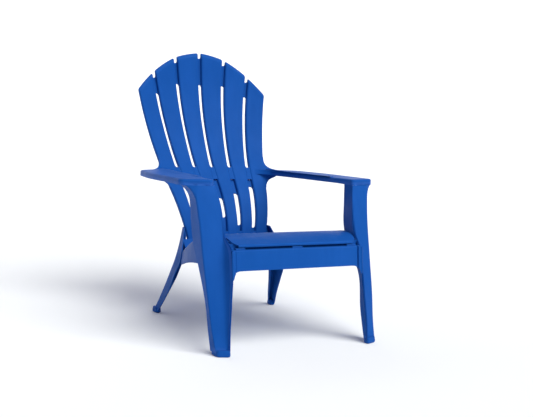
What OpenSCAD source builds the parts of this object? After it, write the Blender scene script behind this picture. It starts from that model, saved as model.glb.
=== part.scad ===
// Garden chair of the Adirondack pattern, moulded in one colour of plastic.
// X runs across the chair, -Y is the front, +Z is up, and the ground is z = 0.
// The origin lies on the ground in the middle of the chair's outline.
// The right half is drawn, and the left half is its mirror image.

/* [Overall] */
// Height of the two middle back slats
chair_height = 950; // [930:1:960]
// Width over the two arms
chair_width = 716; // [700:1:730]
// Wall thickness of the moulding
wall = 4; // [3:0.5:5]

/* [Back] */
// Radius to which the back is dished across its width
back_dish = 1087; // [1000:10:1400]
// Open width of the slots between the back slats
slot_gap = 13.5; // [10:0.5:15]
// Open width of the same slots below the arms
lower_slot_gap = 17; // [13:0.5:19]
// Depth of the turned edges of the back slats
slat_edge = 13; // [10:1:16]
// Height of the slats' lower ends
back_foot = 258; // [250:1:264]

/* [Seat] */
// Open width of the slots between the seat slats
seat_gap = 9; // [6:1:12]
// Depth of the turned edges of the seat slats
seat_edge = 14; // [11:1:18]

/* [Arms] */
// Height of the arms' top at the front
arm_height = 527; // [524:1:530]
// Depth of the rim under each arm
arm_rim = 20; // [16:1:24]
// Slope of the arms, down to the rear, in degrees
arm_slope = 1.1; // [0.8:0.1:1.3]

/* [Hidden] */
plastic = "#2364b4";
half_width = chair_width / 2;

// ---- Curves ---------------------------------------------------------------
// A key list is [[place, value], ...]; curve() is the smooth line through it.
function last(v) = len(v) - 1;
function span(keys, s, i = 0) = i >= last(keys) - 1 || s <= keys[i + 1][0] ? i : span(keys, s, i + 1);
function chord(keys, i) = (keys[i + 1][1] - keys[i][1]) / (keys[i + 1][0] - keys[i][0]);
function tangent(keys, i) =
    i == 0 ? chord(keys, 0)
    : i == last(keys) ? chord(keys, i - 1)
    : (chord(keys, i - 1) + chord(keys, i)) / 2;
function curve(keys, s) =
    let (i = span(keys, s), h = keys[i + 1][0] - keys[i][0], t = (s - keys[i][0]) / h)
    (1 + 2 * t) * (1 - t) * (1 - t) * keys[i][1] + t * (1 - t) * (1 - t) * h * tangent(keys, i)
    + t * t * (3 - 2 * t) * keys[i + 1][1] - t * t * (1 - t) * h * tangent(keys, i + 1);
function mix(a, b, t) = a + (b - a) * t;
function steps(a, b, count) = [for (i = [0:count]) mix(a, b, i / count)];

// ---- Open outlines --------------------------------------------------------
bend_steps = 3;
function unit(v) = v / norm(v);
function left_of(v) = [-v.y, v.x];
// One corner of an outline, rounded within reach of its point
function bend(a, b, c, reach) =
    let (p = b + unit(a - b) * min(reach, 0.45 * norm(a - b)),
         q = b + unit(c - b) * min(reach, 0.45 * norm(c - b)))
    [for (t = steps(0, 1, bend_steps)) (1 - t) * (1 - t) * p + 2 * t * (1 - t) * b + t * t * q];
function round_path(path, reach) = [
    path[0],
    for (i = [1:last(path) - 1]) each bend(path[i - 1], path[i], path[i + 1], reach[i - 1]),
    path[last(path)]
];
function round_loop(path, reach) =
    let (n = len(path))
    [for (i = [0:n - 1]) each bend(path[(i + n - 1) % n], path[i], path[(i + 1) % n], reach[i])];
// The outline moved to its left by a distance
function shift_path(path, d) = [
    for (i = [0:last(path)])
        let (a = unit(path[max(i, 1)] - path[max(i, 1) - 1]),
             b = unit(path[min(i, last(path) - 1) + 1] - path[min(i, last(path) - 1)]),
             n = left_of(unit(a + b)))
        path[i] + d * n / max(0.5, n * left_of(a))
];

// ---- Solids from rings of points ------------------------------------------
function quad(a, b, c, d) = [[a, b, c], [a, c, d]];
function facing(faces, flip) = flip ? [for (f = faces) [f[2], f[1], f[0]]] : faces;
// A bent sheet: each station has an outer line of points and an inner one
module sheet(outer, inner, flip = false) {
    m = len(outer);
    n = len(outer[0]);
    function o(i, j) = i * n + j;
    function k(i, j) = (m + i) * n + j;
    faces = [
        for (i = [0:m - 2], j = [0:n - 2]) each quad(o(i, j), o(i, j + 1), o(i + 1, j + 1), o(i + 1, j)),
        for (i = [0:m - 2], j = [0:n - 2]) each quad(k(i, j), k(i + 1, j), k(i + 1, j + 1), k(i, j + 1)),
        for (i = [0:m - 2]) each quad(o(i, 0), o(i + 1, 0), k(i + 1, 0), k(i, 0)),
        for (i = [0:m - 2]) each quad(o(i, n - 1), k(i, n - 1), k(i + 1, n - 1), o(i + 1, n - 1)),
        for (j = [0:n - 2]) each quad(o(0, j), k(0, j), k(0, j + 1), o(0, j + 1)),
        for (j = [0:n - 2]) each quad(o(m - 1, j), o(m - 1, j + 1), k(m - 1, j + 1), k(m - 1, j))
    ];
    polyhedron([for (r = outer) each r, for (r = inner) each r], facing(faces, flip));
}

// ---- Back -----------------------------------------------------------------
// Front face of the back along the middle of the chair: height and place in Y
back_keys = [
    [258, 128], [340, 148], [420, 192], [480, 241], [540, 289],
    [620, 338], [720, 383], [820, 411], [950, 428]
];
function back_slope(z) = (curve(back_keys, z + 1) - curve(back_keys, z - 1)) / 2;
// A point of the back: x, height, and depth behind the front face
function back_point(x, z, depth = 0) =
    let (s = back_slope(z), c = 1 / sqrt(1 + s * s))
    [x, curve(back_keys, z) - x * x / (2 * back_dish) + depth * c, z - depth * s * c];

slats_per_side = 3;
fan_foot = 33.5;
fan_rate = 0.0735;
// The outer edge runs a little inside the third fan line, more so towards the top
outer_edge_keys = [[258, 2.9], [620, 2.9], [800, 2.83], [950, 2.78]];
arch_rate = 0.00215;
back_step = 38;
bevel_height = 14;
bevel_depth = 6;
slat_corner = 7;
function fan_line(j, z) =
    (j == slats_per_side ? curve(outer_edge_keys, z) : j) * (fan_foot + fan_rate * z);
slot_keys = [[258, slot_gap], [310, slot_gap], [370, lower_slot_gap], [460, lower_slot_gap],
             [520, slot_gap], [950, slot_gap]];
function slot_half(z) = curve(slot_keys, z) / 2;
function slat_side(j, z, end) =
    fan_line(j + end, z) + (end == 0 ? slot_half(z) : j == slats_per_side - 1 ? 0 : -slot_half(z));
function arch(x) = chair_height - arch_rate * x * x;
// Height of the two upper corners of a slat, where its edges meet the arch
function corner_height(j, end, z = 900, turns = 4) =
    turns == 0 ? z : corner_height(j, end, arch(slat_side(j, z, end)), turns - 1);

// Cross-section of a slat as [across, depth] pairs
function slat_section(width) = round_path(
    [[0, slat_edge], [0, 0], [width, 0], [width, slat_edge]], [slat_corner, slat_corner]);
// One ring of a slat; down is how far it lies below the sloping top edge
function slat_ring(j, z, down, inside, closed) =
    let (width = slat_side(j, z, 1) - slat_side(j, z, 0),
         line = slat_section(width),
         used = inside ? shift_path(line, wall) : line)
    [for (p = used)
        let (t = p.x / width,
             top = mix(corner_height(j, 0), corner_height(j, 1), t),
             level = down < 0 ? z : top - down,
             bevel = level > top - bevel_height ? pow((level - top) / bevel_height + 1, 2) : 0,
             x = mix(slat_side(j, level, 0), slat_side(j, level, 1), t),
             depth = closed ? slat_edge : max(p.y, bevel_depth * bevel + (inside ? wall : 0)))
        back_point(x, level, depth)];

module back_slat(j) {
    low = corner_height(j, 1);
    levels = [for (z = [back_foot:back_step:low - 42]) z];
    stations = concat(
        [for (z = levels) [z, -1, false]],
        [for (d = [26, 14, 9]) [low, d, false]],
        [[low, wall + 0.8, false], [low, wall, true], [low, 0, true]]
    );
    sheet([for (s = stations) slat_ring(j, s[0], s[1], false, false)],
          [for (s = stations) slat_ring(j, s[0], s[1], true, s[2])], true);
}

// A web fills one slot between two slats; its levels are [height, depth behind the face]
module back_web(line, levels) {
    rings = function (depth) [
        for (v = levels)
            [for (e = [-1, 1]) back_point(fan_line(line, v[0]) + e * slot_half(v[0]), v[0], v[1] + depth)]
    ];
    sheet(rings(0), rings(wall), true);
}

module both_sides() {
    children();
    mirror([1, 0, 0]) children();
}

// The webs lie flush at the waist and the foot, and step back towards each open slot
flush_recess = 2;
deep_recess = slat_edge - wall;
web_step = 10;
waist_low = 486;
waist_high = 524;
foot_web_top = 295;
// Lower and upper end of the open slot below the waist, for each line from the middle out
lower_slots = [[352, 420], [322, 436], [312, 460]];
function web_levels(low, high, count, depth) = [for (z = steps(low, high, count)) [z, depth]];
module top_web(line, low, notch_at) {
    notch = 19;
    back_web(line, web_levels(low, arch(notch_at) - notch, 3, deep_recess));
}
module waist_web(line) {
    back_web(line, concat(web_levels(lower_slots[line][1], waist_low - web_step, 1, deep_recess),
                          web_levels(waist_low, waist_high, 1, flush_recess)));
}
module foot_web(line) {
    back_web(line, concat(web_levels(back_foot, foot_web_top, 1, flush_recess),
                          web_levels(foot_web_top + web_step, lower_slots[line][0], 1, deep_recess)));
}
module back_top_webs() color(plastic) {
    top_web(0, 828, 0);
    both_sides() top_web(1, 828, fan_line(1, 925));
    both_sides() top_web(2, 790, fan_line(2, 870));
}
module back_waist_webs() color(plastic) {
    waist_web(0);
    both_sides() for (line = [1, 2]) waist_web(line);
}
module back_foot_webs() color(plastic) {
    foot_web(0);
    both_sides() for (line = [1, 2]) foot_web(line);
}

// ---- Seat -----------------------------------------------------------------
// Top of the seat along the chair: place in Y and height
seat_keys = [[-383, 334], [-345, 349], [-290, 354], [-240, 348], [-120, 309], [0, 270], [72, 250], [92, 246]];
function seat_top(y) = curve(seat_keys, y);
// Half the seat's width along the chair
seat_side_keys = [[-383, 208], [-374, 220], [-345, 228], [-262, 240], [-150, 236], [0, 203],
                  [72, 177], [92, 171]];
function seat_side(y) = curve(seat_side_keys, y);
// Front edges of the seat slats, and the rear end of the last
seat_edges = [-383, -253, -172, -91, -10, 72];
seat_lip = 8;
seat_corner = 10;

function seat_section(y0, y1, front_depth) =
    let (inner = steps(y0, y1, 3),
         line = [[y0, seat_top(y0) - front_depth], for (y = inner) [y, seat_top(y)],
                 [y1, seat_top(y1) - seat_edge]],
         n = last(line))
    concat([line[0]], bend(line[0], line[1], line[2], seat_corner),
           [for (i = [2:n - 2]) line[i]],
           bend(line[n - 2], line[n - 1], line[n], seat_corner), [line[n]]);

module seat_slat(i) {
    y0 = seat_edges[i];
    y1 = seat_edges[i + 1] - (i < 4 ? seat_gap : 0);
    front_depth = i == 0 ? seat_lip : seat_edge;
    line = seat_section(y0, y1, front_depth);
    under = shift_path(line, -wall);
    outline = concat(line, [for (k = [last(under):-1:0]) under[k]]);
    reach = 260;
    color(plastic) difference() {
        translate([-reach, 0, 0]) rotate([90, 0, 90]) linear_extrude(2 * reach) polygon(outline);
        both_sides() linear_extrude(400) polygon(concat(
            [for (y = steps(y0 - 2, y1 + 2, 12)) [seat_side(y), y]],
            [[reach + 20, y1 + 2], [reach + 20, y0 - 2]]
        ));
    }
}

// The cove carries the seat's rear edge up into the foot of the back
module seat_rear_cove() {
    y0 = seat_edges[5];
    side = seat_side(y0);
    z0 = seat_top(y0);
    cove_top = 278;
    function front(x, z) = back_point(x, z).y;
    stations = steps(-side, side, 12);
    function line(x, drop, back, reach) = round_path(
        [[y0, z0 - drop], [front(x, z0) - back, z0 - drop - 1], [front(x, cove_top), cove_top - drop]],
        [reach]);
    upper = [for (x = stations) [for (p = line(x, 0, 14, 22)) [x, p.x, p.y]]];
    lower = [for (x = stations) [for (p = line(x, wall, 3, 14)) [x, p.x, p.y]]];
    color(plastic) sheet(upper, lower);
}

module seat_centre_rib() {
    thickness = 5;
    depth = 26;
    front = -376;
    y = steps(front, seat_edges[5] + 30, 14);
    function under(v) = seat_top(min(v, seat_edges[5])) - seat_edge;
    color(plastic) translate([-thickness / 2, 0, 0]) rotate([90, 0, 90]) linear_extrude(thickness)
        polygon(concat([for (v = y) [v, under(v)]],
                       [for (i = [last(y):-1:0]) [y[i], under(y[i]) - depth]]));
}

// Outer face of the seat's side rails, and the height of their lower edge
rail_side_keys = [[-262, 268], [-116, 250], [0, 219], [70, 196], [90, 190]];
rail_foot_keys = [[-262, 258], [-150, 243], [-86, 231], [0, 212], [70, 197], [90, 196]];
rail_rear = 86;
rail_flare = 7;
rail_drop = 2;
module seat_rail() {
    stations = steps(-262, rail_rear, 12);
    lines = [for (y = stations)
        let (top = seat_top(y), side = curve(rail_side_keys, y))
        round_path([[seat_side(y), top], [side, top - rail_drop],
                    [side + rail_flare, curve(rail_foot_keys, y)]], [9])];
    function ring(line, y) = [for (p = line) [p.x, y, p.y]];
    color(plastic) sheet(
        [for (i = [0:last(stations)]) ring(lines[i], stations[i])],
        [for (i = [0:last(stations)]) ring(shift_path(lines[i], -wall), stations[i])],
        true
    );
}

// ---- Front ----------------------------------------------------------------
apron_top = 319;
apron_foot = 255;
apron_corner = 230;
apron_end = 230;
apron_fillet = 24;
apron_front = -391;
// The apron's top shelf ends in an upstand that meets the underside of the front seat slat
apron_upstand = 334;
apron_lean = 0.12;
module front_apron() {
    depth = 22;
    function face(z) = apron_front - apron_lean * (apron_top - z);
    line = round_path([[apron_front + depth, apron_upstand], [apron_front + depth, apron_top],
                       [apron_front, apron_top], [face(apron_corner), apron_corner]], [6, 8]);
    under = shift_path(line, wall);
    section = concat(line, [for (k = [last(under):-1:0]) under[k]]);
    arc = [for (a = steps(90, 0, 8))
        [apron_end - apron_fillet * (1 - cos(a)), apron_foot - apron_fillet * (1 - sin(a))]];
    half = concat([[apron_end, apron_upstand + 1]], [for (k = [last(arc):-1:0]) arc[k]]);
    outline = concat(half, [for (k = [last(half):-1:0]) [-half[k].x, half[k].y]]);
    color(plastic) intersection() {
        translate([-apron_end, 0, 0]) rotate([90, 0, 90]) linear_extrude(2 * apron_end) polygon(section);
        translate([0, -300, 0]) rotate([90, 0, 0]) linear_extrude(200) polygon(outline);
    }
}

module apron_tabs() {
    centres = [-200, 0, 200];
    widths = [32, 38, 32];
    depth = 10;
    lip = seat_top(seat_edges[0]) - seat_lip;
    color(plastic) for (i = [0:2])
        translate([centres[i] - widths[i] / 2, -382, apron_top]) cube([widths[i], depth, lip - apron_top]);
}

// ---- Arms -----------------------------------------------------------------
// Outline of an arm from above, and how far each corner is rounded
arm_front = -292;
leg_top = arm_height - arm_rim;
arm_outline = [
    [256, arm_front], [half_width, -260], [half_width - 5, 20], [320, 196],
    [250, 234], [208, 259], [208, 237], [229, 70], [246, -170]
];
arm_corners = [9, 15, 60, 26, 30, 3, 6, 40, 60];
// The rim is level where the leg meets it, and follows the arm's slope behind the leg
arm_level_end = -200;
arm_rear = 262;
arm_rear_foot = 497;
module arm_shape() {
    polygon(round_loop(arm_outline, arm_corners));
}
function arm_top(y) = arm_height - (y - arm_front) * tan(arm_slope);
module arm_profile(drop, cut) {
    margin = 4;
    profile = [[arm_front - margin, leg_top - cut], [arm_level_end, leg_top - cut],
               [arm_rear, arm_rear_foot - cut], [arm_rear, arm_top(arm_rear) - drop],
               [arm_front - margin, arm_top(arm_front - margin) - drop]];
    rotate([90, 0, 90]) linear_extrude(half_width + margin) polygon(profile);
}
module arm() color(plastic) difference() {
    intersection() {
        arm_profile(0, 0);
        linear_extrude(arm_height + arm_rim) arm_shape();
    }
    intersection() {
        arm_profile(wall, 1);
        linear_extrude(arm_height + arm_rim) offset(delta = -wall) arm_shape();
    }
}

// Place in Y of the arm's rear edge beside the back
function arm_edge(x) = 236 - 0.56 * (x - 250);
// The webs that spread from a back slat's edge into the arm, below it and above it
module arm_root() {
    reach = 70;
    depth = 3;
    count = 7;
    most = 86;
    function spread(t) = 3 + reach * (1 - sqrt(1 - t * t));
    // A web's outer edge is brought forward, so that it stands over or under the arm
    function forward(x, out, z, d) =
        let (p = back_point(x, z, d), over_arm = min(p.y, arm_edge(x) - 12 + d))
        [p.x, mix(p.y, over_arm, min(1, out / reach)), p.z];
    module fan(from, to) {
        angles = steps(0, most, count);
        rings = function (d) [for (a = angles)
            let (z = mix(from, to, sin(a)))
            [back_point(fan_line(slats_per_side, z), z, d),
             forward(fan_line(slats_per_side, z) + spread(sin(a)), spread(sin(a)), z, d)]];
        sheet(rings(depth), rings(depth + wall), from < to);
    }
    color(plastic) {
        fan(454, 496);
        fan(562, 519);
    }
}

// ---- Front legs -----------------------------------------------------------
// Corners of the leg's section by height, each [x, y]: rear of the outer wall, outer front
// corner, inner front corner of the broad face, edge of the inner rim, rear of the inner wall
leg_outer_rear = [[0, [290, -384]], [70, [292, -362]], [153, [296, -343]], [258, [302, -296]],
                  [320, [306, -262]], [440, [311, -238]], [507, [336, -206]]];
leg_outer_front = [[0, [288, -426]], [70, [295, -399]], [153, [301, -378]], [290, [307, -340]],
                   [400, [311, -312]], [465, [318, -294]], [507, [350, -264]]];
leg_inner_front = [[0, [253, -434]], [70, [255, -417]], [155, [253, -397]], [290, [246, -360]],
                   [380, [239, -336]], [450, [243, -317]], [507, [255, -296]]];
leg_rim = [[0, [-4, -7]], [70, [-8, -16]], [155, [-13, -24]], [290, [-15, -38]],
           [325, [-12, -33]], [352, [-3, -7]], [380, [-1.5, -2.5]], [507, [-1.5, -2.5]]];
leg_inner_rear = [[0, [250, -418]], [105, [248, -388]], [235, [242, -368]], [300, [246, -298]],
                  [370, [251, -256]], [440, [252, -249]], [507, [255, -241]]];
foot_height = 16;
module front_leg() {
    levels = concat([foot_height], [for (z = [45:33:495]) z], [leg_top]);
    lines = [for (z = levels)
        let (inner = curve(leg_inner_front, z))
        round_path([curve(leg_outer_rear, z), curve(leg_outer_front, z), inner,
                    inner + curve(leg_rim, z), curve(leg_inner_rear, z)], [8, 14, 8])];
    function ring(line, z) = [for (p = line) [p.x, p.y, z]];
    color(plastic) sheet(
        [for (i = [0:last(levels)]) ring(lines[i], levels[i])],
        [for (i = [0:last(levels)]) ring(shift_path(lines[i], -wall), levels[i])]
    );
}

// A foot closes the leg's channel and spreads a little where it meets the ground
module foot(corners, spread, height) {
    centre = (corners[0] + corners[1] + corners[2] + corners[3]) / 4;
    rings = [for (s = [[0, spread - 2], [4, spread], [10, spread], [height, 0]])
        let (spread_corners = [for (c = corners) c + unit(c - centre) * s[1]])
        [for (p = round_loop(spread_corners, [8, 8, 8, 8])) [p.x, p.y, s[0]]]];
    n = len(rings[0]);
    m = len(rings);
    faces = [
        [for (j = [0:n - 1]) j],
        [for (j = [n - 1:-1:0]) (m - 1) * n + j],
        for (i = [0:m - 2], j = [0:n - 1])
            each quad(i * n + j, (i + 1) * n + j, (i + 1) * n + (j + 1) % n, i * n + (j + 1) % n)
    ];
    color(plastic) polyhedron([for (r = rings) each r], faces);
}
module front_foot() foot([[250, -416], [249, -441], [287, -427], [289, -385]], 2, foot_height);

// ---- Rear legs ------------------------------------------------------------
// Corners of the section by height: front of the outer wall, outer rear corner,
// and the width of the rear wall
rear_outer_front = [[0, [243, 187]], [58, [230, 149]], [120, [222, 109]], [165, [218, 86]],
                    [200, [203, 82]], [262, [193, 88]], [318, [173, 122]]];
rear_outer_rear = [[0, [245, 222]], [58, [231, 195]], [150, [214, 152]], [208, [200, 138]],
                   [267, [184, 138]], [318, [171, 147]]];
rear_width = [[0, 17], [75, 21], [150, 28], [220, 26], [318, 14]];
rear_inner_share = 0.35;
rear_leg_top = 318;
module rear_leg() {
    levels = concat([foot_height], steps(40, rear_leg_top, 10));
    lines = [for (z = levels)
        let (w = curve(rear_width, z), f = curve(rear_outer_front, z), q = curve(rear_outer_rear, z),
             s = q - [w, 3])
        round_path([f, q, s, mix(s, f - [w, 0], rear_inner_share)], [8, 8])];
    function ring(line, z) = [for (p = line) [p.x, p.y, z]];
    color(plastic) sheet(
        [for (i = [0:last(levels)]) ring(lines[i], levels[i])],
        [for (i = [0:last(levels)]) ring(shift_path(lines[i], wall), levels[i])],
        true
    );
}
module rear_foot() foot([[225, 187], [243, 187], [245, 222], [227, 219]], 3, foot_height);

// ---- The whole chair ------------------------------------------------------
module left() {
    mirror([1, 0, 0]) children();
}
module right_slat(j) color(plastic) back_slat(j);

left() right_slat(2);  // back_slat_1
left() right_slat(1);  // back_slat_2
left() right_slat(0);  // back_slat_3
right_slat(0);  // back_slat_4
right_slat(1);  // back_slat_5
right_slat(2);  // back_slat_6
back_top_webs();
back_waist_webs();
back_foot_webs();
seat_slat(0);  // seat_slat_1
seat_slat(1);  // seat_slat_2
seat_slat(2);  // seat_slat_3
seat_slat(3);  // seat_slat_4
seat_slat(4);  // seat_slat_5
seat_rear_cove();
seat_centre_rib();
left() seat_rail();  // seat_rail_left
seat_rail();  // seat_rail_right
front_apron();
apron_tabs();
left() arm();  // arm_left
arm();  // arm_right
left() arm_root();  // arm_root_left
arm_root();  // arm_root_right
left() front_leg();  // front_leg_left
front_leg();  // front_leg_right
left() front_foot();  // front_foot_left
front_foot();  // front_foot_right
left() rear_leg();  // rear_leg_left
rear_leg();  // rear_leg_right
left() rear_foot();  // rear_foot_left
rear_foot();  // rear_foot_right
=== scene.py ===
"""Looks of the moulded Adirondack chair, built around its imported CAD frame.

Lengths are in millimetres in the shape tables and in metres in Blender. X runs across
the chair, -Y is the front, +Z is up. The right half (+X) is described, and the left half
is its mirror image.
"""

import math

import bmesh
import bpy
import numpy as np
from mathutils import Matrix, Vector


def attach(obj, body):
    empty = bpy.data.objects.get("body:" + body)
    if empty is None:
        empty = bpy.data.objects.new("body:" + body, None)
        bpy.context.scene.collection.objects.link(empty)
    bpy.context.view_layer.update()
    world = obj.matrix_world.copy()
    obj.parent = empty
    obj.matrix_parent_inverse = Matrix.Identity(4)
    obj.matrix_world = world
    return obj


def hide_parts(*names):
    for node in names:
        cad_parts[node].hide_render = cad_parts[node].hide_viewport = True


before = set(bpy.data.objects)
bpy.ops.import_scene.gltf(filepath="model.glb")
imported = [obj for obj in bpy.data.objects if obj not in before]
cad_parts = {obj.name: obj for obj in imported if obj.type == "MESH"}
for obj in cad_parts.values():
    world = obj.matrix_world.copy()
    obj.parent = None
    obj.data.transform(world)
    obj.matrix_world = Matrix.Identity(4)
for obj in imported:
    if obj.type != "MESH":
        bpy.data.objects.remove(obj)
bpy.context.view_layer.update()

MM = 0.001
TINY = 1e-9
BODY = "root"
WALL = 4.0
MOULDING = "moulding"
FOOT_PADS = "foot_pads"


# ---- Curves -----------------------------------------------------------------
# The most of a side that one round corner may take, and half the angle that counts as straight
CORNER_SHARE = 0.48
NEARLY_STRAIGHT = math.radians(89)


def mix(a, b, t):
    return a + (b - a) * t


def steps(a, b, count):
    return [mix(a, b, i / count) for i in range(count + 1)]


def curve(keys, s):
    """Smooth line through [(place, value), ...]; a value is a number or a point."""
    places = [k[0] for k in keys]
    values = [np.array(k[1], float) for k in keys]
    chords = [(values[i + 1] - values[i]) / (places[i + 1] - places[i]) for i in range(len(keys) - 1)]
    tangents = [chords[0]]
    tangents += [(chords[i - 1] + chords[i]) / 2 for i in range(1, len(chords))]
    tangents += [chords[-1]]
    i = 0
    while i < len(keys) - 2 and s > places[i + 1]:
        i += 1
    h = places[i + 1] - places[i]
    t = (s - places[i]) / h
    return (
        (1 + 2 * t) * (1 - t) ** 2 * values[i]
        + t * (1 - t) ** 2 * h * tangents[i]
        + t * t * (3 - 2 * t) * values[i + 1]
        - t * t * (1 - t) * h * tangents[i + 1]
    )


def number(keys, s):
    return float(curve(keys, s))


def corner_arc(a, b, c, reach, count):
    """The round corner of an outline at b, starting within reach of it on both sides."""
    a, b, c = (np.array(v, float) for v in (a, b, c))
    u, v = a - b, c - b
    lu, lv = np.linalg.norm(u), np.linalg.norm(v)
    u, v = u / lu, v / lv
    t = min(reach, CORNER_SHARE * lu, CORNER_SHARE * lv)
    half = math.acos(max(-1.0, min(1.0, float(u @ v)))) / 2
    if half > NEARLY_STRAIGHT or t < TINY:
        return [b] * (count + 1)
    bisector = (u + v) / np.linalg.norm(u + v)
    centre = b + bisector * t / math.cos(half)
    p, q = b + u * t - centre, b + v * t - centre
    turn = math.atan2(p[0] * q[1] - p[1] * q[0], float(p @ q))
    points = []
    for i in range(count + 1):
        angle = turn * i / count
        ca, sa = math.cos(angle), math.sin(angle)
        points.append(centre + np.array([p[0] * ca - p[1] * sa, p[0] * sa + p[1] * ca]))
    return points


def round_path(path, reach, splits, count=6):
    """An outline with round corners, and each straight part split into so many."""
    points = [np.array(path[0], float)]
    for i in range(1, len(path)):
        if i < len(path) - 1:
            arc = corner_arc(path[i - 1], path[i], path[i + 1], reach[i - 1], count)
        else:
            arc = [np.array(path[-1], float)]
        start = points[-1]
        points += [mix(start, arc[0], (k + 1) / splits[i - 1]) for k in range(splits[i - 1] - 1)]
        points += arc
    return points


def round_loop(path, reach, count=6):
    """A closed outline with round corners."""
    n = len(path)
    points = []
    for i in range(n):
        points += corner_arc(path[i - 1], path[i], path[(i + 1) % n], reach[i], count)
    return points


def quarter(count):
    """Angles over a quarter turn."""
    return steps(0, math.pi / 2, count)


def fill_line(path, longest):
    """The same line with no gap between points longer than the given length."""
    points = [path[0]]
    for a, b in zip(path[:-1], path[1:]):
        n = max(1, int(math.ceil(np.linalg.norm(b - a) / longest)))
        points += [mix(a, b, (k + 1) / n) for k in range(n)]
    return points


# ---- Building pieces --------------------------------------------------------
# Edges sharper than this angle get a small round, and points closer than the weld become one
SHARP_ANGLE = 48.0
WELD = 0.02


def smooth_modifiers(piece, wall, rim):
    """The sheet's wall thickness, a small round on its sharp edges, and even shading."""
    if wall:
        solid = piece.modifiers.new("wall", "SOLIDIFY")
        solid.thickness = wall * MM
        solid.offset = -1.0
        solid.use_even_offset = False
    if rim:
        edge = piece.modifiers.new("rim", "BEVEL")
        edge.width = rim * MM
        edge.segments = 3
        edge.limit_method = "ANGLE"
        edge.angle_limit = math.radians(SHARP_ANGLE)
        edge.use_clamp_overlap = True
    normals = piece.modifiers.new("normals", "WEIGHTED_NORMAL")
    normals.keep_sharp = True


def mesh_piece(name, node, points, faces, slot, wall=0.0, rim=0.8, mirrored=False):
    """One piece of the chair, shown in place of a CAD node. A piece with no wall is a closed mesh."""
    side = -1.0 if mirrored else 1.0
    mesh = bpy.data.meshes.new(name)
    mesh.from_pydata([(side * p[0] * MM, p[1] * MM, p[2] * MM) for p in points], [], faces)
    work = bmesh.new()
    work.from_mesh(mesh)
    if mirrored:
        bmesh.ops.reverse_faces(work, faces=work.faces)
    bmesh.ops.remove_doubles(work, verts=work.verts, dist=WELD * MM)
    if not wall:
        bmesh.ops.recalc_face_normals(work, faces=work.faces)
    caps = [f for f in work.faces if len(f.verts) > 4]
    bmesh.ops.triangulate(work, faces=caps, ngon_method="EAR_CLIP")
    work.to_mesh(mesh)
    work.free()
    mesh.shade_smooth()
    piece = bpy.data.objects.new(name, mesh)
    bpy.context.scene.collection.objects.link(piece)
    smooth_modifiers(piece, wall, rim)
    mesh.materials.append(MATERIALS[slot])
    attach(piece, BODY)
    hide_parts(node)


def cap_faces(rows, columns):
    """The two ends of a closed tube made of so many rows of points."""
    last = (rows - 1) * columns
    return [list(range(columns))[::-1], list(range(last, last + columns))]


def grid_faces(rows, columns, start=0, wrap=False, flip=False):
    faces = []
    for i in range(rows - 1):
        for j in range(columns if wrap else columns - 1):
            k = (j + 1) % columns
            face = [start + i * columns + j, start + i * columns + k,
                    start + (i + 1) * columns + k, start + (i + 1) * columns + j]
            faces.append(face[::-1] if flip else face)
    return faces


def sheet_piece(name, node, rows, wall=WALL, rim=0.8, flip=False, mirrored=False):
    """One sheet given by rows of points; its wall grows behind its face."""
    faces = grid_faces(len(rows), len(rows[0]), flip=flip)
    mesh_piece(name, node, [p for row in rows for p in row], faces, MOULDING, wall, rim, mirrored)


def sheets_piece(name, node, grids, rim=0.8):
    """Several separate sheets in one piece."""
    points, faces = [], []
    for rows in grids:
        faces += grid_faces(len(rows), len(rows[0]), start=len(points))
        points += [p for row in rows for p in row]
    mesh_piece(name, node, points, faces, MOULDING, WALL, rim)


def tube_piece(name, node, rows, slot, rim, mirrored):
    """A closed piece made of closed rows, one above the other."""
    faces = grid_faces(len(rows), len(rows[0]), wrap=True) + cap_faces(len(rows), len(rows[0]))
    mesh_piece(name, node, [p for row in rows for p in row], faces, slot, 0.0, rim, mirrored)


# ---- Material ---------------------------------------------------------------
BLUE = (0.0055, 0.074, 0.330)
FEET_BLUE = tuple(0.96 * c for c in BLUE)
PLASTIC_IOR = 1.49
SHEEN_LEVEL = 0.12
SHEEN_TINT = (0.34, 0.50, 1.0, 1.0)


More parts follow.
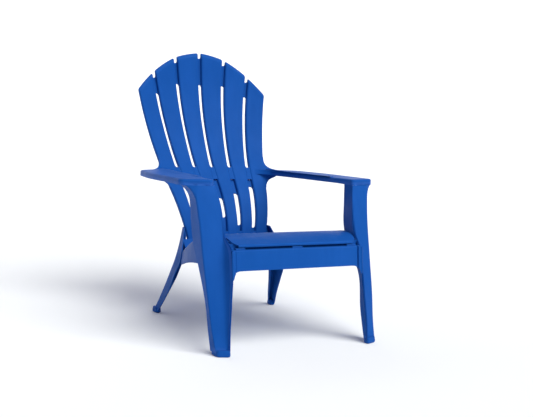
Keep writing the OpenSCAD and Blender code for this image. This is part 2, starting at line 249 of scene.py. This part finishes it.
def plastic(name, colour, roughness, painted_edge_highlight):
    """Satin moulded plastic: fine grain, faint flow marks, and a painted highlight that makes convex
    edges paler.
    """
    material = bpy.data.materials.new(name)
    material.use_nodes = True
    tree = material.node_tree
    nodes, links = tree.nodes, tree.links
    shader = nodes["Principled BSDF"]
    place = nodes.new("ShaderNodeTexCoord")

    def noise(scale, detail, rough=0.5, stretch=None):
        node = nodes.new("ShaderNodeTexNoise")
        node.inputs["Scale"].default_value = scale
        node.inputs["Detail"].default_value = detail
        node.inputs["Roughness"].default_value = rough
        source = place.outputs["Object"]
        if stretch:
            mapping = nodes.new("ShaderNodeMapping")
            mapping.inputs["Scale"].default_value = stretch
            links.new(source, mapping.inputs["Vector"])
            source = mapping.outputs["Vector"]
        links.new(source, node.inputs["Vector"])
        return node.outputs["Fac"]

    def remap(source, low, high, to_low, to_high):
        node = nodes.new("ShaderNodeMapRange")
        node.inputs["From Min"].default_value = low
        node.inputs["From Max"].default_value = high
        node.inputs["To Min"].default_value = to_low
        node.inputs["To Max"].default_value = to_high
        links.new(source, node.inputs["Value"])
        return node.outputs["Result"]

    def mix_colour(factor, first, second):
        node = nodes.new("ShaderNodeMix")
        node.data_type = "RGBA"
        links.new(factor, node.inputs["Factor"])
        for value, socket in ((first, node.inputs[6]), (second, node.inputs[7])):
            if isinstance(value, tuple):
                socket.default_value = value
            else:
                links.new(value, socket)
        return node.outputs[2]

    def shade(gain, lift=0.0):
        return tuple(min(1.0, c * gain + lift) for c in colour) + (1.0,)

    def bump(height, strength, distance):
        node = nodes.new("ShaderNodeBump")
        node.inputs["Strength"].default_value = strength
        node.inputs["Distance"].default_value = distance
        links.new(height, node.inputs["Height"])
        return node

    clouds = remap(noise(5.0, 3.0, 0.55, stretch=(1.0, 1.0, 0.5)), 0.3, 0.7, 0.0, 1.0)
    flow = remap(noise(38.0, 4.0, 0.6, stretch=(1.0, 1.0, 0.16)), 0.35, 0.65, 0.0, 0.35)
    base = mix_colour(clouds, shade(0.93), shade(1.07, 0.002))
    base = mix_colour(flow, base, shade(0.88))
    # Convex edges, found by pointiness, are mixed towards a paler colour: a painted highlight along the
    # rounded edges.
    geometry = nodes.new("ShaderNodeNewGeometry")
    edge = remap(geometry.outputs["Pointiness"], 0.52, 0.62, 0.0, painted_edge_highlight)
    base = mix_colour(edge, base, shade(1.35, 0.03))
    links.new(base, shader.inputs["Base Color"])

    gloss = remap(noise(16.0, 5.0, 0.6), 0.3, 0.7, roughness - 0.05, roughness + 0.07)
    links.new(gloss, shader.inputs["Roughness"])
    shader.inputs["IOR"].default_value = PLASTIC_IOR
    shader.inputs["Specular IOR Level"].default_value = SHEEN_LEVEL
    shader.inputs["Specular Tint"].default_value = SHEEN_TINT

    grain = bump(noise(1500.0, 2.0), strength=0.22, distance=0.0004)
    waves = bump(noise(14.0, 2.0, 0.4), strength=0.10, distance=0.004)
    links.new(grain.outputs["Normal"], waves.inputs["Normal"])
    links.new(waves.outputs["Normal"], shader.inputs["Normal"])
    return material


MATERIALS = {
    # The last number of each sets how strongly convex edges are painted paler, as a painted highlight.
    MOULDING: plastic("moulded_blue", BLUE, roughness=0.50, painted_edge_highlight=0.45),
    FOOT_PADS: plastic("moulded_blue_feet", FEET_BLUE, roughness=0.56, painted_edge_highlight=0.6),
}

# ---- Back -------------------------------------------------------------------
BACK_KEYS = [(258, 128), (340, 148), (420, 192), (480, 241), (540, 289),
             (620, 338), (720, 383), (820, 411), (950, 428)]
BACK_DISH = 1087.0
CHAIR_HEIGHT = 950.0
ARCH_RATE = 0.00215
ARCH_GUESS = 900.0
ARCH_ROUNDS = 8
FAN_FOOT = 33.5
FAN_RATE = 0.0735
OUTER_EDGE_KEYS = [(258, 2.9), (620, 2.9), (800, 2.83), (950, 2.78)]
SLOT_GAP = 13.5
LOWER_SLOT_GAP = 17.0
SLOT_KEYS = [(258, SLOT_GAP), (310, SLOT_GAP), (370, LOWER_SLOT_GAP), (460, LOWER_SLOT_GAP),
             (520, SLOT_GAP), (950, SLOT_GAP)]
SLAT_EDGE = 13.0
SLAT_ROUND = 6.5
SLAT_SPLITS = [2, 10, 2]
SLAT_ROWS = 72
OUTER_LINE = 3
BACK_FOOT = 258.0
TOP_ROUND = 5.0
TOP_ARCH_SHARE = 0.6
# How a slat's top turns back: distance below the top edge, and depth behind the face
TOP_TURN = [(15.5, 0.0), (14.2, 0.15), (12.6, 0.7), (10.5, 1.6), (8.0, 2.7), (5.6, 3.8),
            (3.6, 4.8), (2.0, 5.9), (0.9, 7.2), (0.2, 8.8), (0.0, 10.4), (0.0, SLAT_EDGE)]


def back_point(x, z, depth=0.0):
    """A point of the dished and curved face of the back, or so far behind that face."""
    slope = (number(BACK_KEYS, z + 1) - number(BACK_KEYS, z - 1)) / 2
    c = 1 / math.hypot(1, slope)
    return (x, number(BACK_KEYS, z) - x * x / (2 * BACK_DISH) + depth * c, z - depth * slope * c)


def fan_line(line, z):
    """How far out a slot's middle line is; the outer line is the back's edge."""
    count = number(OUTER_EDGE_KEYS, z) if line == OUTER_LINE else line
    return count * (FAN_FOOT + FAN_RATE * z)


def slat_side(j, z, end):
    half = number(SLOT_KEYS, z) / 2
    if end == 0:
        return fan_line(j, z) + half
    return fan_line(j + 1, z) - (0 if j + 1 == OUTER_LINE else half)


def corner_height(j, end):
    """Where a slat's side meets the arch of the tops, found in a few rounds."""
    z = ARCH_GUESS
    for _ in range(ARCH_ROUNDS):
        z = CHAIR_HEIGHT - ARCH_RATE * slat_side(j, z, end) ** 2
    return z


def back_slat(name, node, j, mirrored):
    heights = corner_height(j, 0), corner_height(j, 1)

    def row(share, down, least_depth):
        probe = BACK_FOOT + (min(heights) - BACK_FOOT) * share
        width = slat_side(j, probe, 1) - slat_side(j, probe, 0)
        line = round_path([(0, SLAT_EDGE), (0, 0), (width, 0), (width, SLAT_EDGE)],
                          [SLAT_ROUND, SLAT_ROUND], SLAT_SPLITS)
        points = []
        for p in line:
            t = p[0] / width
            inset = min(p[0], width - p[0])
            past = max(0.0, TOP_ROUND - inset)
            drop = TOP_ROUND - math.sqrt(max(0.0, TOP_ROUND ** 2 - past ** 2))
            top = mix(heights[0], heights[1], t) - drop
            top += TOP_ARCH_SHARE * ARCH_RATE * width ** 2 * t * (1 - t)
            z = top - down if share >= 1 else BACK_FOOT + (top - down - BACK_FOOT) * share
            x = mix(slat_side(j, z, 0), slat_side(j, z, 1), t)
            points.append(back_point(x, z, max(p[1], least_depth)))
        return points

    first = TOP_TURN[0][0]
    rows = [row(s, first, 0.0) for s in steps(0, 1, SLAT_ROWS)[:-1]]
    rows += [row(1.0, down, depth) for down, depth in TOP_TURN]
    sheet_piece(name, node, rows, mirrored=mirrored)


# The webs between the slats; lists go from the middle slot outwards
UPPER_SLOT_TOPS = [828.0, 828.0, 790.0]
NOTCH_HEIGHTS = [950.0, 925.0, 870.0]
NOTCH_DEPTH = 14.0
LOWER_SLOTS = [(352.0, 420.0), (322.0, 436.0), (312.0, 460.0)]
WAIST = (482.0, 530.0)
FOOT_WEB_TOP = 299.0
WEB_LINES = [(0, 1), (1, 1), (1, -1), (2, 1), (2, -1)]
WEB_ROW = 8.0
WEB_ROWS_LEAST = 6
WEB_COLUMNS = 12
SLOT_END = 6.0
WEB_LAP = 3.0
DEEP_WEB = SLAT_EDGE - 2.0
FLUSH_WEB = 1.9
DEEP_OVERLAP = 0.5
FLUSH_OVERLAP = 1.4


def web_grid(line, low, high, recess, overlap, round_low, round_high, sign=1):
    """One web between two slats; its ends are hollowed where a slot starts."""
    radius = SLOT_GAP / 2
    rows = []
    for s in steps(0, 1, max(WEB_ROWS_LEAST, int((high - low) / WEB_ROW))):
        row = []
        for across in steps(-1, 1, WEB_COLUMNS):
            bite = radius * math.sqrt(max(0.0, 1 - across ** 2))
            z = mix(low + bite * round_low, high - bite * round_high, s)
            x = across * (number(SLOT_KEYS, z) / 2 + overlap)
            row.append(back_point(sign * fan_line(line, z) + x, z, recess))
        rows.append(row)
    return rows


def back_webs():
    """Webs set deep between the slats, and flush ones at the waist and the foot."""
    top, waist, foot = [], [], []
    for line, sign in WEB_LINES:
        low, high = LOWER_SLOTS[line]
        waist_foot = WAIST[0] + WEB_LAP
        notch = CHAIR_HEIGHT - ARCH_RATE * fan_line(line, NOTCH_HEIGHTS[line]) ** 2 - NOTCH_DEPTH
        step_above_foot = low > FOOT_WEB_TOP
        top_foot = UPPER_SLOT_TOPS[line] - SLOT_END
        top.append(web_grid(line, top_foot, notch, DEEP_WEB, DEEP_OVERLAP, 1, 1, sign))
        waist.append(web_grid(line, *WAIST, FLUSH_WEB, FLUSH_OVERLAP, 0, 1, sign))
        waist.append(web_grid(line, high - SLOT_END, waist_foot, DEEP_WEB, DEEP_OVERLAP, 1, 0, sign))
        foot.append(web_grid(line, BACK_FOOT, FOOT_WEB_TOP, FLUSH_WEB, FLUSH_OVERLAP,
                             0, 0 if step_above_foot else 1, sign))
        if step_above_foot:
            foot.append(web_grid(line, FOOT_WEB_TOP - WEB_LAP, low + SLOT_END, DEEP_WEB, DEEP_OVERLAP,
                                 0, 1, sign))
    sheets_piece("back_webs_at_the_top", "back_top_webs", top)
    sheets_piece("back_webs_at_the_waist", "back_waist_webs", waist, rim=0.5)
    sheets_piece("back_webs_at_the_foot", "back_foot_webs", foot, rim=0.5)


for number_of_slat, (slat, mirrored) in enumerate(
        [(2, True), (1, True), (0, True), (0, False), (1, False), (2, False)], start=1):
    back_slat(f"back_slat_{number_of_slat}_moulded", f"back_slat_{number_of_slat}", slat, mirrored)
back_webs()

# ---- Seat -------------------------------------------------------------------
SEAT_KEYS = [(-383, 334), (-345, 349), (-290, 354), (-240, 348), (-120, 309), (0, 270),
             (72, 250), (92, 246)]
SEAT_SIDE_KEYS = [(-383, 208), (-374, 220), (-345, 228), (-262, 240), (-150, 236), (0, 203),
                  (72, 177), (92, 171)]
SEAT_EDGES = [-383, -253, -172, -91, -10, 72]
SEAT_GAP = 9.0
SEAT_EDGE = 14.0
SEAT_LIP = 8.0
SEAT_ROUND = 5.5
SEAT_COLUMNS = 28
COVE_TOP = 278.0
COVE_ROUND = 18.0
COVE_TOE = 12.0


def seat_top(y):
    return number(SEAT_KEYS, y)


def seat_side(y):
    return number(SEAT_SIDE_KEYS, y)


def seat_slat(i):
    y0 = SEAT_EDGES[i]
    y1 = SEAT_EDGES[i + 1] - (SEAT_GAP if i < 4 else 0)
    front = SEAT_LIP if i == 0 else SEAT_EDGE
    inner = steps(y0, y1, 9)
    line = [(y0, seat_top(y0) - front)]
    line += [(y, seat_top(y)) for y in inner]
    line += [(y1, seat_top(y1) - SEAT_EDGE)]
    line = [np.array(p, float) for p in line]
    section = [line[0]] + corner_arc(*line[:3], SEAT_ROUND, 6) + line[2:-2]
    section += corner_arc(*line[-3:], SEAT_ROUND, 6) + [line[-1]]
    rows = []
    for p in section:
        half = seat_side(min(max(p[0], y0), y1))
        rows.append([(half * s, p[0], p[1]) for s in steps(-1, 1, SEAT_COLUMNS)])
    sheet_piece(f"seat_slat_{i + 1}_moulded", f"seat_slat_{i + 1}", rows, rim=1.2)


def seat_rear_cove():
    """The seat turns up into the foot of the back."""
    y0 = SEAT_EDGES[-1]
    z0 = seat_top(y0)
    half = seat_side(y0)
    rows = []
    for x in steps(-half, half, 30):
        toe = (back_point(x, z0)[1] - COVE_TOE, z0 - 1)
        head = (back_point(x, COVE_TOP)[1] - 1, COVE_TOP)
        line = round_path([(y0 - WALL, z0 + 1), toe, head], [COVE_ROUND], [5, 2], 8)
        rows.append([(x, p[0], p[1]) for p in line])
    sheet_piece("seat_rear_cove_moulded", "seat_rear_cove", rows, flip=True)


RAIL_SIDE_KEYS = [(-262, 268), (-116, 250), (0, 219), (70, 196), (90, 190)]
RAIL_FOOT_KEYS = [(-262, 258), (-150, 243), (-86, 231), (0, 212), (70, 197), (90, 196)]
RAIL_FRONT = -285.0
RAIL_REAR = 92.0
RAIL_LEAN = 7.0
RAIL_ROUND = 9.0


def seat_rail(name, node, mirrored):
    """A narrow shelf beside the seat, and the side wall below it."""
    rows = []
    for y in steps(RAIL_FRONT, RAIL_REAR, 42):
        top = seat_top(y)
        side = number(RAIL_SIDE_KEYS, y)
        foot = number(RAIL_FOOT_KEYS, y)
        section = [(seat_side(y) - WALL, top + 0.3), (side, top - 1.5), (side + RAIL_LEAN, foot)]
        rows.append([(p[0], y, p[1]) for p in round_path(section, [RAIL_ROUND], [3, 5], 7)])
    sheet_piece(name, node, rows, mirrored=mirrored)


for i in range(5):
    seat_slat(i)
seat_rear_cove()
seat_rail("seat_rail_left_moulded", "seat_rail_left", True)
seat_rail("seat_rail_right_moulded", "seat_rail_right", False)

# ---- Front apron ------------------------------------------------------------
APRON_TOP = 319.0
APRON_FOOT = 255.0
APRON_END = 231.0
APRON_FILLET = 25.0
APRON_FRONT = -391.0
APRON_LEAN = 0.12
APRON_DEPTH = 22.0
APRON_UPSTAND = 335.0
APRON_ROUND = 5.0
RIM_STRIP = 9.0
RIM_STANDS = 5.0
RIM_SWEEP = 0.9
GROOVE = 2.8
GROOVE_DEPTH = 1.8
# The tabs: the middle and the width of each, and the two corners of their section
APRON_TABS = [(-201.5, 33), (0, 38), (201.5, 33)]
TAB_FRONT_FOOT = (-384, APRON_TOP - 3)
TAB_REAR_TOP = (-369, APRON_TOP + 4.4)


def front_apron():
    """The panel under the seat's front, with the shelf behind its top."""
    edge = APRON_END - RIM_STRIP
    shelf = APRON_FRONT + APRON_DEPTH

    def foot(x):
        over = max(0.0, abs(x) - (APRON_END - APRON_FILLET))
        return APRON_FOOT - APRON_FILLET + math.sqrt(max(0.0, APRON_FILLET ** 2 - over ** 2))

    def forward(x):
        """The plain panel, a shallow groove near each end, and the leg's rim beyond it."""
        inside = edge - abs(x)
        if inside > GROOVE:
            return 0.0
        if inside > 0:
            return GROOVE_DEPTH
        return -RIM_STANDS * min(1.0, -inside / 2.0) - RIM_SWEEP * max(0.0, abs(x) - APRON_END)

    ends = [edge - 6, edge - GROOVE - 0.8, edge - GROOVE, edge - 0.2, edge + 0.4, edge + 2.2, edge + 5]
    ends += [APRON_END, APRON_END + WALL]
    columns = [-x for x in ends[::-1]] + steps(-edge + 12, edge - 12, 34) + ends
    rows = []
    for x in columns:
        low = foot(x)
        line = round_path([(shelf, APRON_UPSTAND), (shelf, APRON_TOP), (APRON_FRONT, APRON_TOP),
                           (APRON_FRONT - APRON_LEAN * (APRON_TOP - low), low)],
                          [APRON_ROUND, APRON_ROUND], [2, 2, 8], 5)
        shift = forward(x)
        rows.append([(x, p[0] + shift * min(1.0, max(0.0, (APRON_FRONT + 9 - p[0]) / 6)), p[1])
                     for p in line])
    sheet_piece("front_apron_moulded", "front_apron", rows, rim=1.2)


def block(points, faces, low, high):
    """Adds a box between two corners."""
    start = len(points)
    points += [(x, y, z) for x in (low[0], high[0]) for y in (low[1], high[1]) for z in (low[2], high[2])]
    for f in ((0, 1, 3, 2), (4, 6, 7, 5), (0, 4, 5, 1), (2, 3, 7, 6), (0, 2, 6, 4), (1, 5, 7, 3)):
        faces.append([start + i for i in f])


def apron_tabs():
    points, faces = [], []
    for centre, width in APRON_TABS:
        block(points, faces, (centre - width / 2, *TAB_FRONT_FOOT), (centre + width / 2, *TAB_REAR_TOP))
    mesh_piece("apron_tabs_moulded", "apron_tabs", points, faces, MOULDING, rim=1.5)


front_apron()
apron_tabs()

# ---- Arms -------------------------------------------------------------------
HALF_WIDTH = 358.0
ARM_HEIGHT = 527.0
ARM_RIM = 20.0
ARM_SLOPE = math.tan(math.radians(1.1))
ARM_FRONT = -292.0
LEG_TOP = ARM_HEIGHT - ARM_RIM
ARM_ROUND = 6.5
ARM_LEVEL_END = -200.0
ARM_EDGE_AT_250 = 236.0
ARM_EDGE_SLOPE = 0.56
ARM_REAR = 262.0
ARM_REAR_FOOT = 497.0
ARM_OUTLINE = [(256, ARM_FRONT), (HALF_WIDTH - 0.5, -260), (HALF_WIDTH - 5, 20), (320, 196),
               (250, 234), (205, 261), (205, 238), (229, 70), (246, -170)]
ARM_CORNERS = [12, 18, 60, 30, 34, 9, 9, 40, 60]
ARM_POINT_GAP = 12.0
# Rings inside the rounded edge of the arm's top: how far in they lie
ARM_INNER_RINGS = [9.0, 7.8]
# The fan from the back to the arm: its foot, its narrow part under and over the arm, and its top
ROOT_LEVELS = (454.0, 499.0, 517.0, 562.0)
ROOT_REACH = 72.0
ROOT_LAP = 7.0
ROOT_WALL = 9.0
ROOT_BEHIND_ARM = 12.0
ROOT_ROUND_BELOW = 2.0
ROOT_ROUND_ABOVE = 3.0
FILLET_LEVELS = (470.0, 500.0, 516.5)
FILLET_ON_BACK = 46.0
FILLET_ON_ARM = 80.0
FILLET_PAST_EDGE = 12.0
FILLET_REAR = 6.0
FILLET_REAR_WIDTH = 14.0


def inset_loop(loop, distance):
    """A counter-clockwise loop moved inwards."""
    n = len(loop)
    moved = []
    for i in range(n):
        a = loop[i] - loop[i - 1]
        b = loop[(i + 1) % n] - loop[i]
        a, b = a / (np.linalg.norm(a) + TINY), b / (np.linalg.norm(b) + TINY)
        t = (a + b) / (np.linalg.norm(a + b) + TINY)
        moved.append(loop[i] + distance * np.array([-t[1], t[0]]))
    return moved


def arm_foot(y):
    """The rim's lower edge: level over the leg, and following the arm's slope behind it."""
    return mix(LEG_TOP, ARM_REAR_FOOT, max(0.0, (y - ARM_LEVEL_END) / (ARM_REAR - ARM_LEVEL_END)))


def arm(name, node, mirrored):
    """A flat top with a rounded edge, and a rim below it all round."""
    loop = round_loop(ARM_OUTLINE, ARM_CORNERS, 8)
    dense = fill_line(loop + [loop[0]], ARM_POINT_GAP)[:-1]
    rings = [(inset, 0.0) for inset in ARM_INNER_RINGS]
    rings += [(ARM_ROUND * (1 - math.cos(a)), ARM_ROUND * (1 - math.sin(a))) for a in quarter(7)[::-1]]
    rows = []
    for inset, drop in rings:
        rows.append([(p[0], p[1], ARM_HEIGHT - ARM_SLOPE * (p[1] - ARM_FRONT) - drop)
                     for p in inset_loop(dense, inset)])
    last = rows[-1]
    for share in steps(0, 1, 2)[1:]:
        rows.append([(p[0], p[1], mix(p[2], arm_foot(p[1]), share)) for p in last])
    points = [p for row in rows for p in row]
    n = len(dense)
    faces = grid_faces(len(rows), n, wrap=True, flip=True) + [list(range(n))]
    mesh_piece(name, node, points, faces, MOULDING, WALL, 1.0, mirrored)


def arm_root(name, node, mirrored):
    """The back's face spreads into the arm, with a fillet above and one below."""
    low, under, over, high = ROOT_LEVELS

    def spread(z):
        t = (z - low) / (under - low) if z < under else (high - z) / (high - over) if z > over else 1.0
        t = min(1.0, max(0.0, t))
        power = ROOT_ROUND_BELOW if z < under else ROOT_ROUND_ABOVE
        return ROOT_REACH * (1 - max(0.0, 1 - t ** power) ** (1 / power))

    heights = [mix(low, under, math.sin(a)) for a in quarter(12)]
    heights += [mix(high, over, math.cos(a)) for a in quarter(12)]
    rows = []
    for z in heights:
        edge = fan_line(3, z)
        wide = spread(z)
        row = []
        for s in steps(0, 1, 8):
            x, y, level = back_point(edge + mix(-ROOT_LAP, wide, s), z, mix(-0.25, 1.5, s * s))
            over_arm = ARM_EDGE_AT_250 - ARM_EDGE_SLOPE * (x - 250) - ROOT_BEHIND_ARM
            share = min(1.0, max(0.0, (x - edge) / ROOT_REACH))
            row.append((x, mix(y, min(y, over_arm), share), level))
        rows.append(row)
    sheet_piece(name, node, rows, wall=ROOT_WALL, rim=2.5, mirrored=mirrored)


def arm_fillet(name, node, mirrored):
    """The upright fillet in the corner between the back's face and the arm's inner side."""
    low, foot, high = FILLET_LEVELS
    heights = [mix(low, foot, math.sin(a)) for a in steps(0.2, math.pi / 2, 10)]
    rows = []
    for z in heights + steps(foot, high, 3)[1:]:
        share = 1 - math.sqrt(max(0.0, 1 - min(1.0, (z - low) / (foot - low)) ** 2))
        edge = fan_line(3, z)
        start = np.array(back_point(edge - 2 - FILLET_ON_BACK * share, z, 1.0)[:2])
        corner = np.array([edge + 1, back_point(edge, z)[1]])
        end = corner + np.array([FILLET_PAST_EDGE * share, -2 - FILLET_ON_ARM * share])
        behind = corner + np.array([0, FILLET_REAR])
        outline = [mix(mix(start, corner, t), mix(corner, end, t), t) for t in steps(0, 1, 12)]
        outline += [behind + np.array([FILLET_REAR_WIDTH, 0]), behind]
        rows.append([(p[0], p[1], z) for p in outline])
    tube_piece(name, node, rows, MOULDING, 1.5, mirrored)


for side, mirrored in (("left", True), ("right", False)):
    arm(f"arm_{side}_moulded", f"arm_{side}", mirrored)
    arm_fillet(f"arm_fillet_{side}", f"arm_root_{side}", mirrored)
    arm_root(f"arm_root_{side}_moulded", f"arm_root_{side}", mirrored)

# ---- Front legs -------------------------------------------------------------
LEG_OUTER_REAR = [(0, (290, -384)), (70, (292, -362)), (153, (296, -343)), (258, (302, -296)),
                  (320, (306, -262)), (440, (311, -238)), (507, (314, -226))]
LEG_OUTER_FRONT = [(0, (288, -426)), (70, (295, -399)), (153, (301, -378)), (290, (307, -340)),
                   (400, (311, -312)), (465, (317, -296)), (507, (321, -287))]
LEG_INNER_FRONT = [(0, (253, -434)), (70, (255, -417)), (155, (253, -397)), (290, (246, -360)),
                   (380, (239, -336)), (450, (243, -317)), (507, (255, -294))]
LEG_RIM = [(0, (-4, -7)), (70, (-8, -16)), (155, (-13, -24)), (290, (-15, -38)),
           (325, (-12, -33)), (352, (-3, -7)), (380, (-1.5, -2.5)), (507, (-1.0, 0.5))]
LEG_INNER_REAR = [(0, (250, -418)), (105, (248, -388)), (235, (242, -368)), (300, (246, -298)),
                  (370, (251, -256)), (440, (252, -249)), (507, (255, -241))]
FACE_SHARE = 0.17
FLARE_START = 458.0
FLARE_REAR = np.array([350.0, -194.0])
FLARE_FRONT = np.array([352.0, -262.5])
FOOT_HEIGHT = 16.0
FOOT_LAP = 6.0
LEG_ROUNDS = [8, 10, 7, 4]
LEG_SPLITS = [6, 2, 6, 4, 6]


def leg_corners(z):
    """The open channel's corners, from its outer rear edge round the front to the inner one."""
    rear, front = curve(LEG_OUTER_REAR, z), curve(LEG_OUTER_FRONT, z)
    if z > FLARE_START:
        u = (z - FLARE_START) / (LEG_TOP + 1 - FLARE_START)
        share = 1 - math.sqrt(max(0.0, 1 - u * u))
        rear, front = mix(rear, FLARE_REAR, share), mix(front, FLARE_FRONT, share)
    inner = curve(LEG_INNER_FRONT, z)
    face_end = mix(curve(LEG_OUTER_FRONT, z), inner, FACE_SHARE)
    return [rear, front, face_end, inner, inner + curve(LEG_RIM, z), curve(LEG_INNER_REAR, z)]


def front_leg(name, node, mirrored):
    levels = steps(FOOT_HEIGHT - FOOT_LAP, FLARE_START, 42) + steps(FLARE_START, LEG_TOP + 0.5, 14)[1:]
    rows = []
    for z in levels:
        rows.append([(p[0], p[1], z) for p in round_path(leg_corners(z), LEG_ROUNDS, LEG_SPLITS)])
    sheet_piece(name, node, rows, flip=True, mirrored=mirrored, rim=1.2)


# A foot pad's side: height, and how far it stands out there
FOOT_PROFILE = [(0.0, -3.2), (0.6, -1.4), (1.8, 0.2), (3.6, 1.4), (6.0, 1.9), (9.0, 1.8), (12.0, 1.2),
                (15.0, 0.5), (18.0, 0.1), (20.5, -0.8)]
FOOT_ROUNDS = [8, 8, 8, 8]
FRONT_FOOT = [(250, -416), (249, -441), (287, -427), (289, -385)]


def foot(name, node, corners, spread, mirrored):
    """A closed pad at the bottom of a leg, swelling a little and rounded at the sole."""
    corners = [np.array(c, float) for c in corners]
    centre = sum(corners) / 4
    rows = []
    for z, swell in FOOT_PROFILE:
        grown = [c + (c - centre) / np.linalg.norm(c - centre) * (swell + spread) for c in corners]
        rows.append([(p[0], p[1], z) for p in round_loop(grown, FOOT_ROUNDS)])
    tube_piece(name, node, rows, FOOT_PADS, 0.6, mirrored)


for side, mirrored in (("left", True), ("right", False)):
    front_leg(f"front_leg_{side}_moulded", f"front_leg_{side}", mirrored)
    foot(f"front_foot_{side}_moulded", f"front_foot_{side}", FRONT_FOOT, 0.4, mirrored)

# ---- Rear legs --------------------------------------------------------------
REAR_OUTER_FRONT = [(0, (243, 187)), (58, (230, 149)), (120, (222, 109)), (165, (218, 86)),
                    (200, (203, 82)), (262, (193, 88)), (318, (173, 122))]
REAR_OUTER_REAR = [(0, (245, 222)), (58, (231, 195)), (150, (214, 152)), (208, (200, 138)),
                   (267, (184, 138)), (318, (171, 147))]
REAR_WIDTH = [(0, 17), (75, 21), (150, 28), (220, 26), (318, 14)]
REAR_INNER_SHARE = 0.35
REAR_TOP = 318.0
REAR_ROUNDS = [7, 6]
REAR_SPLITS = [5, 2, 4]
REAR_FOOT = [(225, 187), (243, 187), (245, 222), (227, 219)]


def rear_leg(name, node, mirrored):
    """A channel open to the middle, with its outer side and its rear closed."""
    rows = []
    for z in steps(FOOT_HEIGHT - FOOT_LAP, REAR_TOP, 36):
        wide = number(REAR_WIDTH, z)
        f, q = curve(REAR_OUTER_FRONT, z), curve(REAR_OUTER_REAR, z)
        s = q - np.array([wide, 3])
        end = mix(s, f - np.array([wide, 0]), REAR_INNER_SHARE)
        line = round_path([f, q, s, end], REAR_ROUNDS, REAR_SPLITS)
        rows.append([(p[0], p[1], z) for p in line])
    sheet_piece(name, node, rows, mirrored=mirrored, rim=1.0)


for side, mirrored in (("left", True), ("right", False)):
    rear_leg(f"rear_leg_{side}_moulded", f"rear_leg_{side}", mirrored)
    foot(f"rear_foot_{side}_moulded", f"rear_foot_{side}", REAR_FOOT, 0.6, mirrored)

# ---- The one CAD node shown as it is ----------------------------------------
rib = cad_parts["seat_centre_rib"]
rib.data.materials.clear()
rib.data.materials.append(MATERIALS[MOULDING])

# ---- Floor, light and camera ------------------------------------------------
PAPER = (0.90, 0.90, 0.90)
SUN_TOWARDS = (0.35, -1.0, 1.15)
SUN_ANGLE = 50.0
SUN_STRENGTH = 3.5
SUN_COLOUR = (0.98, 1.0, 0.96)
AIR_COLOUR = (0.72, 0.73, 1.0, 1.0)
AIR_STRENGTH = 0.27
CAMERA_PLACE = (-1.494584, -2.939833, 0.767032)
CAMERA_YAW = 0.4940674
CAMERA_PITCH = 0.1102516
CAMERA_ROLL = 0.0430896
FOCAL_IN_WIDTHS = 1.7742083
SENSOR_WIDTH = 36.0


def flat_material(name, colour, roughness):
    material = bpy.data.materials.new(name)
    material.use_nodes = True
    shader = material.node_tree.nodes["Principled BSDF"]
    shader.inputs["Base Color"].default_value = colour + (1.0,)
    shader.inputs["Roughness"].default_value = roughness
    shader.inputs["Specular IOR Level"].default_value = 0.1
    return material


def studio_sweep():
    """A pale floor that curves up into a backdrop far behind the chair."""
    half, near, far, bend, tall = 30.0, -30.0, 8.0, 3.0, 9.0
    profile = [(near, 0.0), (far - bend, 0.0)]
    profile += [(far - bend + bend * math.sin(a), bend - bend * math.cos(a)) for a in quarter(24)[1:]]
    profile.append((far, tall))
    mesh = bpy.data.meshes.new("studio_floor")
    points = [(x, y, z) for y, z in profile for x in (-half, half)]
    mesh.from_pydata(points, [], grid_faces(len(profile), 2, flip=True))
    mesh.shade_smooth()
    floor = bpy.data.objects.new("studio_floor", mesh)
    bpy.context.scene.collection.objects.link(floor)
    mesh.materials.append(flat_material("pale_paper", PAPER, 0.9))


def sun_light(name, towards, angle, strength, colour):
    """A wide even light; towards points from the chair to the light."""
    data = bpy.data.lights.new(name, "SUN")
    data.angle = math.radians(angle)
    data.energy = strength
    data.color = colour
    light = bpy.data.objects.new(name, data)
    bpy.context.scene.collection.objects.link(light)
    light.rotation_euler = (-Vector(towards)).to_track_quat("-Z", "Y").to_euler()


def studio_air(colour, strength):
    world = bpy.data.worlds.new("studio_air")
    world.use_nodes = True
    background = world.node_tree.nodes["Background"]
    background.inputs["Color"].default_value = colour
    background.inputs["Strength"].default_value = strength
    bpy.context.scene.world = world


def camera_at(place, yaw, pitch, roll, focal_in_widths):
    """Yaw turns the view from +Y towards +X, pitch turns it down, roll tilts it."""
    forward = Vector((math.sin(yaw) * math.cos(pitch), math.cos(yaw) * math.cos(pitch), -math.sin(pitch)))
    right = Vector((math.cos(yaw), -math.sin(yaw), 0.0))
    up = right.cross(forward)
    c, s = math.cos(roll), math.sin(roll)
    x_axis = c * right + s * up
    y_axis = -s * right + c * up
    data = bpy.data.cameras.new("photo_angle")
    data.sensor_fit = "HORIZONTAL"
    data.sensor_width = SENSOR_WIDTH
    data.lens = focal_in_widths * data.sensor_width
    camera = bpy.data.objects.new("photo_angle", data)
    bpy.context.scene.collection.objects.link(camera)
    turn = Matrix((x_axis, y_axis, -forward)).transposed().to_4x4()
    camera.matrix_world = Matrix.Translation(Vector(place)) @ turn
    bpy.context.scene.camera = camera


studio_sweep()
sun_light("key", SUN_TOWARDS, SUN_ANGLE, SUN_STRENGTH, SUN_COLOUR)
studio_air(AIR_COLOUR, AIR_STRENGTH)
camera_at(CAMERA_PLACE, CAMERA_YAW, CAMERA_PITCH, CAMERA_ROLL, FOCAL_IN_WIDTHS)

bpy.context.scene.view_settings.view_transform = "Standard"

bpy.context.view_layer.update()
